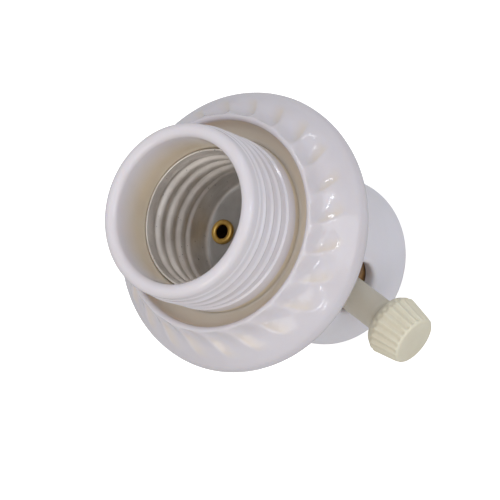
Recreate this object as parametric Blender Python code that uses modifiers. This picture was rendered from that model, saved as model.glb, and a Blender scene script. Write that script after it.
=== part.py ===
"""Medium-base lampholder with a threaded front barrel, a screw-on shade ring and a turn-knob switch.

The lamp axis is +Z and the bulb goes in from above. The object stands on its flat rear face, with the
origin where the lamp axis meets that face. The knob points along -Y. Lengths below are millimetres.
"""

import math

import bmesh
import bpy
from mathutils import Vector

MM = 0.001
GAP = 0.3
ROUND_STEPS = 40
SMALL_STEPS = 16

# Lamp axis, from the rear face to the rim.
HEIGHT = 60.0

# Screw shell: standard medium base thread.
THREAD_PITCH = 3.63
SHELL_MAJOR_R = 13.15
SHELL_MINOR_R = 12.35
SHELL_WALL = 0.35
SHELL_MOUTH_Z = HEIGHT - 10.1
SHELL_THREAD_END_Z = SHELL_MOUTH_Z - 4 * THREAD_PITCH
SHELL_FLOOR_Z = 30.1
SHELL_CORNER_R = 1.2
SHELL_HOLE_R = 5.4

# Front barrel with the fitter thread, the seat for a reflector and the floor that carries the contacts.
BARREL_BORE_R = SHELL_MAJOR_R + SHELL_WALL + GAP
BARREL_CREST_R = 16.65
BARREL_ROOT_R = 16.1
FITTER_PITCH = 2.67
FITTER_TURNS = 4
FITTER_START_Z = HEIGHT - 2.35
SEAT_R = 19.8
SEAT_TOP_Z = 33.9
SEAT_BOTTOM_Z = 31.5
LOWER_BORE_R = SHELL_MINOR_R + SHELL_WALL + 0.4
FLOOR_TOP_Z = SHELL_FLOOR_Z - SHELL_WALL - GAP
FLOOR_BOTTOM_Z = 26.8
BLIND_HOLE_Z = FLOOR_TOP_Z - 0.6
UNDER_FLOOR_Z = FLOOR_BOTTOM_Z - 0.55
CONTACT_HOLE_R = 5.5

# Shade ring.
RING_R = 27.2
RING_BACK_Z = SEAT_TOP_Z + GAP
RING_EDGE_R = 3.5
RING_EDGE_Z = 37.4
RING_LIP_R = 20.4
RING_LIP_Z = 47.1
RING_INNER_R = 19.7
RING_BORE_R = BARREL_CREST_R + 0.35
RING_FLOOR_Z = 43.75
RING_COLLAR_R = 19.6
RING_COLLAR_Z = SEAT_TOP_Z + 2.1
RING_HOLLOW_TOP_Z = 40.95
RING_SKIRT_R = 22.6
RING_STEPS = 96
FLUTES = 24
FLUTE_DEPTH = 0.8
FLUTE_SWIRL_DEG = 8.6

# Rear housing.
HOUSING_R = 17.7
HOUSING_WALL = 2.5
HOUSING_TOP_Z = SEAT_BOTTOM_Z - GAP
HOUSING_EDGE_R = 1.9
HOUSING_FLOOR = 2.6
LEDGE_Z = 8.3
LEDGE_R = 13.4
SLOT_HALF_WIDTH = 5.15
SLOT_MIDDLE_X = 1.35
SLOT_INNER_Y = -10.0

# Turn-knob switch, on a spindle along -Y.
SPINDLE_Z = 16.8
SPINDLE_R = 1.55
STEM_R = 3.4
STEM_START = 12.3
KNOB_BASE_R = 6.25
KNOB_FACE_R = 5.1
KNOB_BASE = 26.3
KNOB_FACE = 33.8
KNOB_FLUTES = 22
ROTOR_R = 4.8
ROTOR_SQUARE_HALF = 3.4
BRIDGE_REACH = 5.3
BASE_R = HOUSING_R - HOUSING_WALL - 0.5
BASE_BOTTOM_Z = LEDGE_Z + GAP
BASE_TOP_Z = SPINDLE_Z - ROTOR_SQUARE_HALF
FOOT_Z = BASE_TOP_Z + 0.55
TERMINAL_SCREW_TOP_Z = FOOT_Z + 2.0

# Hub for a lamp pipe.
HUB_BORE_R = 4.6
HUB_R = 6.3
HUB_FLANGE_R = 7.3
HUB_TOP_Z = 6.3
HUB_SCREW_Z = 4.6

# Fasteners.
SCREW_SHANK_R = 1.0
SCREW_CLEAR_R = SCREW_SHANK_R + GAP
SCREW_CROWN = 0.4
DRIVER_SLOT_REACH = 3.0
EYELET_RADIUS_AT = 8.6
EYELET_DEG = (115.0, 295.0)
EYELET_TUBE_R = 1.6
EYELET_HOLE_R = 1.3
EYELET_HOLE_DEPTH = 4.2
EYELET_FLANGE_R = 2.5
EYELET_FOOT_R = 2.2
EYELET_CLEAR_R = EYELET_TUBE_R + GAP
HOUSING_SCREW_AT = 12.8
HOUSING_SCREW_DEG = (20.0, 200.0)
STRIP = 0.5
RIVET_X = 8.6
LINE_SCREW_X = -10.0
NEUTRAL_SCREW_X = -7.5


# ---------------------------------------------------------------- scene and materials


def clear_scene():
    for obj in list(bpy.data.objects):
        bpy.data.objects.remove(obj, do_unlink=True)


def new_collection(name):
    collection = bpy.data.collections.new(name)
    bpy.context.scene.collection.children.link(collection)
    return collection


def material(name, colour, roughness, metallic=0.0):
    made = bpy.data.materials.new(name)
    made.use_nodes = True
    shader = made.node_tree.nodes["Principled BSDF"]
    shader.inputs["Base Color"].default_value = (*colour, 1.0)
    shader.inputs["Roughness"].default_value = roughness
    shader.inputs["Metallic"].default_value = metallic
    return made


clear_scene()
PARTS = new_collection("heat_lamp_lampholder")
CUTTERS = new_collection("cutters")


def white_plastic(name):
    return material(name, (0.72, 0.70, 0.70), 0.22)


def brass(name):
    return material(name, (0.62, 0.42, 0.14), 0.3, 1.0)


def steel(name):
    return material(name, (0.55, 0.55, 0.56), 0.3, 1.0)


# ---------------------------------------------------------------- shape helpers


def add_part(name, mesh, look, parent=None):
    obj = bpy.data.objects.new(name, mesh)
    PARTS.objects.link(obj)
    obj.data.materials.append(look)
    obj.parent = parent
    return obj


def arc(centre_r, centre_z, radius, start_deg, end_deg, count):
    """Points of an arc in a turned outline, angles from +R towards +Z."""
    points = []
    for step in range(count):
        angle = math.radians(start_deg + (end_deg - start_deg) * step / (count - 1))
        points.append((centre_r + radius * math.cos(angle), centre_z + radius * math.sin(angle)))
    return points


def turned(name, outline, look, steps=ROUND_STEPS, hollow=True, parent=None):
    """A turned solid. The outline runs down the outer side; a hollow one closes on itself."""
    mesh = bpy.data.meshes.new(name)
    points = [(r * MM, 0.0, z * MM) for r, z in outline]
    edges = [(i, i + 1) for i in range(len(points) - 1)]
    if hollow:
        edges.append((len(points) - 1, 0))
    mesh.from_pydata(points, edges, [])
    obj = add_part(name, mesh, look, parent)
    screw = obj.modifiers.new("Turn", "SCREW")
    screw.axis = "Z"
    screw.steps = steps
    screw.render_steps = steps
    screw.use_merge_vertices = True
    screw.merge_threshold = 1e-6
    screw.use_smooth_shade = True
    return obj


def link_cutter(name, mesh):
    cutter = bpy.data.objects.new(name, mesh)
    CUTTERS.objects.link(cutter)
    cutter.hide_render = True
    cutter.display_type = "WIRE"
    return cutter


def rod_cutter(name, radius, start, end, segments=SMALL_STEPS):
    """A cylinder from one point to another, in millimetres."""
    start = Vector(start) * MM
    end = Vector(end) * MM
    mesh = bpy.data.meshes.new(name)
    shape = bmesh.new()
    bmesh.ops.create_cone(
        shape, cap_ends=True, segments=segments, radius1=radius * MM, radius2=radius * MM,
        depth=(end - start).length)
    shape.to_mesh(mesh)
    shape.free()
    cutter = link_cutter(name, mesh)
    cutter.location = (start + end) / 2
    cutter.rotation_mode = "QUATERNION"
    cutter.rotation_quaternion = (end - start).to_track_quat("Z", "Y")
    return cutter


def box_mesh(name, low, high):
    mesh = bpy.data.meshes.new(name)
    shape = bmesh.new()
    bmesh.ops.create_cube(shape, size=1.0)
    size = [(high[i] - low[i]) * MM for i in range(3)]
    middle = [(high[i] + low[i]) / 2 * MM for i in range(3)]
    bmesh.ops.scale(shape, vec=size, verts=shape.verts)
    bmesh.ops.translate(shape, vec=middle, verts=shape.verts)
    shape.to_mesh(mesh)
    shape.free()
    return mesh


def boolean(obj, other, operation="DIFFERENCE"):
    modifier = obj.modifiers.new(other.name, "BOOLEAN")
    modifier.operation = operation
    modifier.object = other
    modifier.solver = "EXACT"


def bore(obj, radius, start, end, segments=SMALL_STEPS):
    """Cuts a round hole through a part, between two points in millimetres."""
    name = f"{obj.name}_hole_{len(obj.modifiers)}"
    boolean(obj, rod_cutter(name, radius, start, end, segments))


def cut_box(obj, low, high):
    name = f"{obj.name}_notch_{len(obj.modifiers)}"
    boolean(obj, link_cutter(name, box_mesh(name, low, high)))


def polar(radius, degrees):
    return radius * math.cos(math.radians(degrees)), radius * math.sin(math.radians(degrees))


def strip(name, path, width, middle_y, look):
    """A bent metal strip: a path in X and Z, pulled out along Y and given its thickness."""
    mesh = bpy.data.meshes.new(name)
    shape = bmesh.new()
    low_y = (middle_y - width / 2) * MM
    verts = [shape.verts.new((x * MM, low_y, z * MM)) for x, z in path]
    edges = [shape.edges.new(pair) for pair in zip(verts, verts[1:])]
    pulled = bmesh.ops.extrude_edge_only(shape, edges=edges)["geom"]
    moved = [item for item in pulled if isinstance(item, bmesh.types.BMVert)]
    bmesh.ops.translate(shape, vec=(0.0, width * MM, 0.0), verts=moved)
    shape.to_mesh(mesh)
    shape.free()
    obj = add_part(name, mesh, look)
    sheet = obj.modifiers.new("Thickness", "SOLIDIFY")
    sheet.thickness = STRIP * MM
    sheet.offset = 0.0
    sheet.use_even_offset = True
    return obj


def screw_part(name, length, shank_r, head_r, head_height, look):
    """A slotted pan-head screw: the top of its head is at its origin and it points along -Z."""
    outline = [
        (0.0, 0.0), (head_r - SCREW_CROWN, 0.0), (head_r, -SCREW_CROWN), (head_r, -head_height),
        (shank_r, -head_height), (shank_r, SCREW_CROWN - length), (shank_r - SCREW_CROWN, -length),
        (0.0, -length),
    ]
    return turned(name, outline, look, steps=SMALL_STEPS, hollow=False)


def cut_slot(obj, centre, facing, long_axis, depth, half_width=0.35):
    """A screwdriver slot in a head that faces along an axis. It runs along axis 0 (X) or 2 (Z)."""
    low = [value - half_width for value in centre]
    high = [value + half_width for value in centre]
    low[long_axis] = centre[long_axis] - DRIVER_SLOT_REACH
    high[long_axis] = centre[long_axis] + DRIVER_SLOT_REACH
    for axis, way in enumerate(facing):
        if way:
            ends = (centre[axis] - way * depth, centre[axis] + way)
            low[axis] = min(ends)
            high[axis] = max(ends)
    cut_box(obj, low, high)


# ---------------------------------------------------------------- front half


def build_barrel():
    lip_r = (BARREL_CREST_R - 0.25 - BARREL_BORE_R) / 2
    lip_at = BARREL_BORE_R + lip_r
    outline = arc(lip_at, HEIGHT - lip_r, lip_r, 90, 0, 4)
    for turn in range(FITTER_TURNS):
        crest_z = FITTER_START_Z - (turn + 0.5) * FITTER_PITCH
        outline.append((BARREL_ROOT_R, crest_z + FITTER_PITCH / 2))
        outline.append((BARREL_CREST_R, crest_z))
    thread_end_z = FITTER_START_Z - FITTER_TURNS * FITTER_PITCH
    outline += [
        (BARREL_ROOT_R, thread_end_z),
        (BARREL_CREST_R - 0.1, thread_end_z - 0.6),
        (BARREL_CREST_R - 0.1, SEAT_TOP_Z),
        (SEAT_R, SEAT_TOP_Z),
        (SEAT_R, SEAT_BOTTOM_Z),
        (HOUSING_R - HOUSING_WALL - GAP, SEAT_BOTTOM_Z),
        (HOUSING_R - HOUSING_WALL - GAP, FLOOR_BOTTOM_Z),
        (CONTACT_HOLE_R, FLOOR_BOTTOM_Z),
        (CONTACT_HOLE_R, FLOOR_TOP_Z),
        (LOWER_BORE_R, FLOOR_TOP_Z),
        (LOWER_BORE_R, SHELL_THREAD_END_Z - 1.2),
        (BARREL_BORE_R, SHELL_THREAD_END_Z),
    ]
    outline += arc(lip_at, HEIGHT - lip_r, lip_r, 180, 120, 3)
    barrel = turned("socket_barrel", outline, white_plastic("barrel_plastic"))
    for angle in EYELET_DEG:
        x, y = polar(EYELET_RADIUS_AT, angle)
        bore(barrel, EYELET_CLEAR_R, (x, y, FLOOR_BOTTOM_Z - 1), (x, y, FLOOR_TOP_Z + 1), 12)
    for angle in HOUSING_SCREW_DEG:
        x, y = polar(HOUSING_SCREW_AT, angle)
        bore(barrel, SCREW_CLEAR_R, (x, y, FLOOR_BOTTOM_Z - 1), (x, y, BLIND_HOLE_Z), 12)
    bore(barrel, SCREW_CLEAR_R, (RIVET_X, 0, FLOOR_BOTTOM_Z - 1), (RIVET_X, 0, BLIND_HOLE_Z), 12)
    return barrel


def flute_dip(along, angle_deg):
    """How far a flute dips at a place on the ring's face: along is 0 at the lip and 1 at the outer edge."""
    if not 0.0 < along < 1.0:
        return 0.0
    phase = math.radians(FLUTES * (angle_deg - FLUTE_SWIRL_DEG * along))
    return FLUTE_DEPTH * math.sin(math.pi * along) * (0.5 + 0.5 * math.cos(phase))


def build_shade_ring():
    edge_at = RING_R - RING_EDGE_R
    outline = arc(RING_LIP_R, RING_LIP_Z - 0.7, 0.7, 90, 35, 3)
    outline += [(22.3, 44.4), (24.1, 42.6), (25.6, 40.7)]
    outline += arc(edge_at, RING_EDGE_Z, RING_EDGE_R, 30, -65, 5)
    outline += [
        (edge_at, RING_BACK_Z), (RING_SKIRT_R + 0.2, RING_BACK_Z), (RING_SKIRT_R, RING_BACK_Z + 0.4),
        (RING_SKIRT_R - 0.2, RING_HOLLOW_TOP_Z), (RING_COLLAR_R, RING_HOLLOW_TOP_Z),
        (RING_COLLAR_R, RING_COLLAR_Z), (RING_BORE_R, RING_COLLAR_Z), (RING_BORE_R, RING_FLOOR_Z),
        (RING_INNER_R - 1.1, RING_FLOOR_Z + 0.35), (RING_INNER_R - 0.3, RING_FLOOR_Z + 0.9),
        (RING_INNER_R, RING_FLOOR_Z + 1.6), (RING_INNER_R, RING_LIP_Z - 0.7),
    ]
    ring = turned("shade_ring", outline, white_plastic("ring_plastic"), steps=RING_STEPS)
    graph = bpy.context.evaluated_depsgraph_get()
    mesh = bpy.data.meshes.new_from_object(ring.evaluated_get(graph))
    for vertex in mesh.vertices:
        radius = math.hypot(vertex.co.x, vertex.co.y)
        on_front = vertex.co.z > RING_EDGE_Z * MM and radius > RING_LIP_R * MM
        if on_front:
            along = (radius / MM - RING_LIP_R) / (RING_R - RING_LIP_R)
            angle = math.degrees(math.atan2(vertex.co.y, vertex.co.x))
            shrink = 1.0 - flute_dip(along, angle) * MM / radius
            vertex.co.x *= shrink
            vertex.co.y *= shrink
    mesh.name = "shade_ring"
    ring.modifiers.clear()
    ring.data = mesh
    return ring


def shell_radius(z):
    """Inner radius of the rolled thread, which fades out towards the smooth wall."""
    if z <= SHELL_THREAD_END_Z:
        return SHELL_MINOR_R
    middle = (SHELL_MAJOR_R + SHELL_MINOR_R) / 2
    swing = (SHELL_MAJOR_R - SHELL_MINOR_R) / 2
    return middle + swing * math.cos(2 * math.pi * (z - SHELL_MOUTH_Z) / THREAD_PITCH)


def build_screw_shell():
    samples = 12
    drop = (SHELL_MOUTH_Z - SHELL_THREAD_END_Z) / samples
    wall_z = [SHELL_MOUTH_Z - drop * step for step in range(samples + 1)]
    corner_z = SHELL_FLOOR_Z + SHELL_CORNER_R
    outer_r = SHELL_MINOR_R + SHELL_WALL
    outline = [(shell_radius(z) + SHELL_WALL, z) for z in wall_z]
    outline += arc(outer_r - SHELL_CORNER_R, corner_z - SHELL_WALL, SHELL_CORNER_R, 0, -90, 4)
    outline += [(SHELL_HOLE_R, SHELL_FLOOR_Z - SHELL_WALL), (SHELL_HOLE_R, SHELL_FLOOR_Z)]
    outline += arc(SHELL_MINOR_R - SHELL_CORNER_R, corner_z, SHELL_CORNER_R, -90, 0, 4)
    outline += [(shell_radius(z), z) for z in reversed(wall_z)]
    shell = turned("screw_shell", outline, material("shell_aluminium", (0.62, 0.61, 0.6), 0.35, 1.0), 36)
    for angle in EYELET_DEG:
        x, y = polar(EYELET_RADIUS_AT, angle)
        bore(shell, EYELET_CLEAR_R, (x, y, SHELL_FLOOR_Z - 2), (x, y, SHELL_FLOOR_Z + 2), 12)
    return shell


def build_shell_eyelet(number, angle):
    """A half-hollow rivet: a blind hole from the top and a solid, flattened foot."""
    top_z = SHELL_FLOOR_Z + 0.9
    hole_z = top_z - EYELET_HOLE_DEPTH
    under_z = SHELL_FLOOR_Z + GAP
    foot_z = FLOOR_BOTTOM_Z - STRIP - 1.3
    foot_top_z = foot_z + 0.45
    outline = [
        (0.0, hole_z), (EYELET_HOLE_R, hole_z), (EYELET_HOLE_R, top_z - 0.2), (EYELET_HOLE_R + 0.5, top_z),
        (EYELET_FLANGE_R, top_z - 0.3), (EYELET_FLANGE_R, under_z), (EYELET_TUBE_R, under_z),
        (EYELET_TUBE_R, foot_top_z), (EYELET_FOOT_R, foot_top_z), (EYELET_FOOT_R, foot_z), (0.0, foot_z),
    ]
    look = brass(f"eyelet_brass_{number}")
    eyelet = turned(f"shell_eyelet_{number}", outline, look, SMALL_STEPS, hollow=False)
    x, y = polar(EYELET_RADIUS_AT, angle)
    eyelet.location = (x * MM, y * MM, 0.0)


def build_centre_contact():
    floor_z = SHELL_FLOOR_Z
    path = [
        (10.9, UNDER_FLOOR_Z), (3.4, UNDER_FLOOR_Z), (2.4, UNDER_FLOOR_Z + 1.1), (2.2, floor_z + 1.1),
        (1.2, floor_z + 3.0), (-1.2, floor_z + 3.8), (-3.2, floor_z + 3.1), (-3.9, floor_z + 1.8),
    ]
    contact = strip("centre_contact", path, 4.6, 0.0, brass("centre_contact_brass"))
    bore(contact, SCREW_CLEAR_R, (RIVET_X, 0, UNDER_FLOOR_Z - 2), (RIVET_X, 0, UNDER_FLOOR_Z + 2), 12)
    rivet = screw_part("centre_contact_rivet", 4.1, SCREW_SHANK_R, 1.9, 0.7, brass("rivet_brass"))
    rivet.rotation_euler = (math.pi, 0.0, 0.0)
    rivet.location = (RIVET_X * MM, 0.0, (UNDER_FLOOR_Z - 2.15) * MM)


# ---------------------------------------------------------------- rear half


def build_housing():
    inner_r = HOUSING_R - HOUSING_WALL
    outline = [
        (inner_r + 0.4, HOUSING_TOP_Z), (HOUSING_R - 0.4, HOUSING_TOP_Z), (HOUSING_R, HOUSING_TOP_Z - 0.4),
    ]
    outline += arc(HOUSING_R - HOUSING_EDGE_R, HOUSING_EDGE_R, HOUSING_EDGE_R, 0, -90, 5)
    outline += [
        (HUB_R + GAP, 0.0), (HUB_R + GAP, HOUSING_FLOOR), (LEDGE_R, HOUSING_FLOOR), (LEDGE_R, LEDGE_Z),
        (inner_r, LEDGE_Z), (inner_r, HOUSING_TOP_Z - 0.4),
    ]
    housing = turned("rear_housing", outline, white_plastic("housing_plastic"))
    outward = -HOUSING_R - 5
    bore(
        housing, SLOT_HALF_WIDTH, (SLOT_MIDDLE_X, SLOT_INNER_Y, SPINDLE_Z),
        (SLOT_MIDDLE_X, outward, SPINDLE_Z), 32)
    cut_box(
        housing, (SLOT_MIDDLE_X - SLOT_HALF_WIDTH, outward, SPINDLE_Z),
        (SLOT_MIDDLE_X + SLOT_HALF_WIDTH, SLOT_INNER_Y, HOUSING_TOP_Z + 1))
    for angle in HOUSING_SCREW_DEG:
        x, y = polar(HOUSING_SCREW_AT, angle)
        bore(housing, 2.6, (x, y, -1), (x, y, 1.5), 16)
        bore(housing, 1.75, (x, y, -1), (x, y, LEDGE_Z + 1), 16)
    bore(housing, 1.6, (0, 12, HUB_SCREW_Z), (0, 20, HUB_SCREW_Z), 16)
    return housing


def build_hub():
    outline = [
        (HUB_FLANGE_R - 0.4, HUB_TOP_Z), (HUB_FLANGE_R, HUB_TOP_Z - 0.4),
        (HUB_FLANGE_R, HOUSING_FLOOR + GAP), (HUB_R, HOUSING_FLOOR + GAP), (HUB_R, 0.6),
        (HUB_BORE_R + 0.4, 0.6), (HUB_BORE_R, 1.0), (HUB_BORE_R, HUB_TOP_Z),
    ]
    hub = turned("hub_bushing", outline, steel("hub_zinc"), 32)
    bore(hub, 1.35, (0, 3, HUB_SCREW_Z), (0, 9, HUB_SCREW_Z), 12)
    set_screw = turned(
        "hub_set_screw", [(0.0, 5.6), (0.75, 5.6), (1.05, 5.3), (1.05, 0.3), (0.75, 0.0), (0.0, 0.0)],
        steel("set_screw_steel"), 12, hollow=False)
    set_screw.rotation_euler = (-math.pi / 2, 0.0, 0.0)
    set_screw.location = (0.0, 5.0 * MM, HUB_SCREW_Z * MM)
    cut_slot(set_screw, (0, 10.6, HUB_SCREW_Z), (0, 1, 0), 2, 0.7, half_width=0.25)


def terminal_screw_places():
    return (LINE_SCREW_X, 0.0), (NEUTRAL_SCREW_X, polar(EYELET_RADIUS_AT, EYELET_DEG[0])[1])


def build_switch_base():
    base = turned(
        "switch_base",
        [(0.0, BASE_TOP_Z), (BASE_R - 0.4, BASE_TOP_Z), (BASE_R, BASE_TOP_Z - 0.4),
         (BASE_R, BASE_BOTTOM_Z + 0.4), (BASE_R - 0.4, BASE_BOTTOM_Z), (0.0, BASE_BOTTOM_Z)],
        material("base_phenolic", (0.16, 0.075, 0.03), 0.55), hollow=False)
    for number, (near, far) in enumerate(((-11.4, -8.6), (7.6, 10.4))):
        name = f"switch_base_post_{number}"
        post = link_cutter(name, box_mesh(name, (-3.0, near, BASE_TOP_Z - 1), (3.0, far, SPINDLE_Z + 2.9)))
        boolean(base, post, "UNION")
    bore(base, 5.7, (0, -8.3, SPINDLE_Z), (0, 7.3, SPINDLE_Z), 32)
    bore(base, 1.9, (0, -14, SPINDLE_Z), (0, 13, SPINDLE_Z))
    for angle in HOUSING_SCREW_DEG:
        x, y = polar(HOUSING_SCREW_AT, angle)
        bore(base, 2.1, (x, y, BASE_BOTTOM_Z - 1), (x, y, BASE_TOP_Z + 1), 16)
    for angle in (65.0, 245.0):
        x, y = polar(BASE_R - 1.4, angle)
        bore(base, 2.3, (x, y, BASE_BOTTOM_Z - 1), (x, y, BASE_TOP_Z + 1), 16)
    for x, y in terminal_screw_places():
        bore(base, SCREW_CLEAR_R, (x, y, BASE_BOTTOM_Z - 1), (x, y, BASE_TOP_Z + 1), 12)
    return base


def build_contacts():
    load_z = UNDER_FLOOR_Z - STRIP - GAP
    tip_x = BRIDGE_REACH + GAP + STRIP / 2 + 0.1
    load_path = [
        (6.8, load_z), (11.2, load_z), (12.1, load_z - 0.9), (12.1, SPINDLE_Z + 1.0),
        (11.0, SPINDLE_Z - 0.5), (8.0, SPINDLE_Z - 1.0), (tip_x, SPINDLE_Z), (tip_x, SPINDLE_Z + 1.2),
    ]
    load = strip("load_contact", load_path, 4.0, 0.0, brass("load_brass"))
    bore(load, SCREW_CLEAR_R, (RIVET_X, 0, load_z - 2), (RIVET_X, 0, load_z + 0.6), 12)
    line_path = [
        (-12.6, FOOT_Z), (-8.3, FOOT_Z), (-7.4, FOOT_Z + 0.85), (-tip_x, SPINDLE_Z),
        (-tip_x, SPINDLE_Z + 1.2),
    ]
    line = strip("line_contact", line_path, 4.0, 0.0, brass("line_brass"))
    bore(line, SCREW_CLEAR_R, (LINE_SCREW_X, 0, FOOT_Z - 2), (LINE_SCREW_X, 0, FOOT_Z + 2), 12)
    neutral_path = [
        (-1.0, UNDER_FLOOR_Z), (-9.4, UNDER_FLOOR_Z), (-10.0, UNDER_FLOOR_Z - 0.7),
        (-10.0, FOOT_Z + 0.5), (-9.8, FOOT_Z), (-5.4, FOOT_Z),
    ]
    eyelet_x, eyelet_y = polar(EYELET_RADIUS_AT, EYELET_DEG[0])
    neutral = strip("neutral_terminal", neutral_path, 4.6, eyelet_y, brass("neutral_brass"))
    holes = ((eyelet_x, UNDER_FLOOR_Z, EYELET_CLEAR_R), (NEUTRAL_SCREW_X, FOOT_Z, SCREW_CLEAR_R))
    for x, z, radius in holes:
        bore(neutral, radius, (x, eyelet_y, z - 1), (x, eyelet_y, z + 1), 12)
    for name, (x, y) in zip(("line_terminal_screw", "neutral_terminal_screw"), terminal_screw_places()):
        screw = screw_part(name, 6.2, SCREW_SHANK_R, 1.85, 1.4, steel(f"{name}_steel"))
        screw.location = (x * MM, y * MM, TERMINAL_SCREW_TOP_Z * MM)
        cut_slot(screw, (x, y, TERMINAL_SCREW_TOP_Z), (0, 0, 1), 0, 0.6)


def build_housing_screws():
    for number, angle in enumerate(HOUSING_SCREW_DEG, start=1):
        x, y = polar(HOUSING_SCREW_AT, angle)
        name = f"housing_screw_{number}"
        screw = screw_part(name, BLIND_HOLE_Z - 2 * GAP, SCREW_SHANK_R, 2.2, 1.1, steel(f"{name}_steel"))
        screw.rotation_euler = (math.pi, 0.0, 0.0)
        screw.location = (x * MM, y * MM, GAP * MM)
        cut_slot(screw, (x, y, GAP), (0, 0, -1), 0, 0.6)


# ---------------------------------------------------------------- rotating group


def build_knob(axis):
    outline = [(0.0, KNOB_FACE), (KNOB_FACE_R - 0.9, KNOB_FACE), (KNOB_FACE_R - 0.25, KNOB_FACE - 0.3)]
    outline += [
        (KNOB_FACE_R, KNOB_FACE - 0.9), (KNOB_BASE_R - 0.12, KNOB_BASE + 2.4),
        (KNOB_BASE_R, KNOB_BASE + 1.7), (KNOB_BASE_R - 0.35, KNOB_BASE + 0.7), (KNOB_BASE_R - 1.2, KNOB_BASE),
        (STEM_R, KNOB_BASE - 0.4), (STEM_R, STEM_START), (SPINDLE_R + 0.35, STEM_START),
        (SPINDLE_R + 0.35, 20.0), (0.0, 20.0),
    ]
    knob = turned("knob", outline, material("knob_plastic", (0.62, 0.58, 0.46), 0.45), 2 * KNOB_FLUTES, False, axis)
    graph = bpy.context.evaluated_depsgraph_get()
    mesh = bpy.data.meshes.new_from_object(knob.evaluated_get(graph))
    for vertex in mesh.vertices:
        radius = math.hypot(vertex.co.x, vertex.co.y)
        if radius > (KNOB_FACE_R - 0.1) * MM:
            angle = math.atan2(vertex.co.y, vertex.co.x)
            shrink = 1.0 - 0.35 * MM / radius * (0.5 + 0.5 * math.cos(KNOB_FLUTES * angle))
            vertex.co.x *= shrink
            vertex.co.y *= shrink
    mesh.name = "knob"
    knob.modifiers.clear()
    knob.data = mesh


def build_spindle(axis):
    outline = [
        (0.0, 19.6), (SPINDLE_R - 0.4, 19.6), (SPINDLE_R, 19.2), (SPINDLE_R, 3.0), (0.0, 3.0),
    ]
    turned("switch_spindle", outline, steel("spindle_steel"), SMALL_STEPS, False, axis)


def build_rotor(axis):
    outline = [
        (0.0, 2.7), (SPINDLE_R + GAP, 2.7), (SPINDLE_R + GAP, 8.0), (ROTOR_R - 0.4, 8.0), (ROTOR_R, 7.6),
        (ROTOR_R, -6.6), (ROTOR_R - 0.4, -7.0), (SPINDLE_R, -7.0), (SPINDLE_R, -10.2), (0.0, -10.2),
    ]
    rotor = turned(
        "switch_rotor", outline, material("rotor_phenolic", (0.05, 0.045, 0.04), 0.5), 24, False, axis)
    far = 9.0
    half = ROTOR_SQUARE_HALF
    start_y = 2.6
    end_y = 8.0
    cut_box(rotor, (-far, start_y, SPINDLE_Z - far), (-half, end_y, SPINDLE_Z + far))
    cut_box(rotor, (half, start_y, SPINDLE_Z - far), (far, end_y, SPINDLE_Z + far))
    cut_box(rotor, (-far, start_y, SPINDLE_Z - far), (far, end_y, SPINDLE_Z - half))
    cut_box(rotor, (-far, start_y, SPINDLE_Z + half), (far, end_y, SPINDLE_Z + far))
    cut_box(rotor, (-far, -2.3, SPINDLE_Z - 0.8), (far, 2.3, SPINDLE_Z + 0.8))
    bridge = add_part("rotor_bridge", box_mesh(
        "rotor_bridge", (-BRIDGE_REACH, -0.5, -1.9), (BRIDGE_REACH, 0.5, 1.9)), brass("bridge_brass"), axis)
    edges = bridge.modifiers.new("Edges", "BEVEL")
    edges.width = 0.2 * MM
    edges.segments = 1


def build_detent_spring():
    top_z = SPINDLE_Z + ROTOR_SQUARE_HALF + 0.55
    side = 6.4
    path = [
        (-8.4, FOOT_Z), (-side, FOOT_Z), (-side, top_z - 0.8), (1.0 - side, top_z), (side - 1.0, top_z),
        (side, top_z - 0.8), (side, FOOT_Z), (8.4, FOOT_Z),
    ]
    strip("detent_spring", path, 2.4, 4.0, steel("spring_steel"))


def build_rotating_group():
    axis = bpy.data.objects.new("knob_axis", None)
    PARTS.objects.link(axis)
    axis.location = (0.0, 0.0, SPINDLE_Z * MM)
    axis.rotation_euler = (math.pi / 2, 0.0, 0.0)
    bpy.context.view_layer.update()
    build_knob(axis)
    build_spindle(axis)
    build_rotor(axis)


build_barrel()
build_shade_ring()
build_screw_shell()
for eyelet_number, eyelet_angle in enumerate(EYELET_DEG, start=1):
    build_shell_eyelet(eyelet_number, eyelet_angle)
build_centre_contact()
build_housing()
build_hub()
build_switch_base()
build_contacts()
build_housing_screws()
build_rotating_group()
build_detent_spring()
bpy.context.view_layer.update()
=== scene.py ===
"""Looks of the lampholder: fine meshes, finishes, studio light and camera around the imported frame.

The lamp axis is +Z, the knob points along -Y and the object stands on its rear face. Lengths are
millimetres until a mesh is made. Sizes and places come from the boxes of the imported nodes.
"""

import math

import bmesh
import bpy
from mathutils import Matrix, Vector


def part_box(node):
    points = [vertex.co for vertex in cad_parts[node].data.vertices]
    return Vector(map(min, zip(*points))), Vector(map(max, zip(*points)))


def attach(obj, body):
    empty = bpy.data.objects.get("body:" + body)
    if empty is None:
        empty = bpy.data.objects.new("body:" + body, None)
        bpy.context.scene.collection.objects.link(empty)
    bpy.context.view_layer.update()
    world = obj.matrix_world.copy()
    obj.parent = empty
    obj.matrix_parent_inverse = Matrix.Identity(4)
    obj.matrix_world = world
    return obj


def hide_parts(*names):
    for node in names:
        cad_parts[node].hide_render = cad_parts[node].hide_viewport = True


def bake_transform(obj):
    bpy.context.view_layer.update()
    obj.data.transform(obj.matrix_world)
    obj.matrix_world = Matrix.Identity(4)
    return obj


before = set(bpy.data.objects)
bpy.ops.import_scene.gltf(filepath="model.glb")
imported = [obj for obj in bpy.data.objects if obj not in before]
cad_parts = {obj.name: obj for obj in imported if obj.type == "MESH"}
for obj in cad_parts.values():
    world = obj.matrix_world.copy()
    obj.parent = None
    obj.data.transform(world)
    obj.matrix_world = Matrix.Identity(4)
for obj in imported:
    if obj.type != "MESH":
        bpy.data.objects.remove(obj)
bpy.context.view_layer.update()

MM = 0.001


def span(node):
    """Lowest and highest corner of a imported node, in millimetres."""
    low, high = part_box(node)
    return low / MM, high / MM


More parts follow.
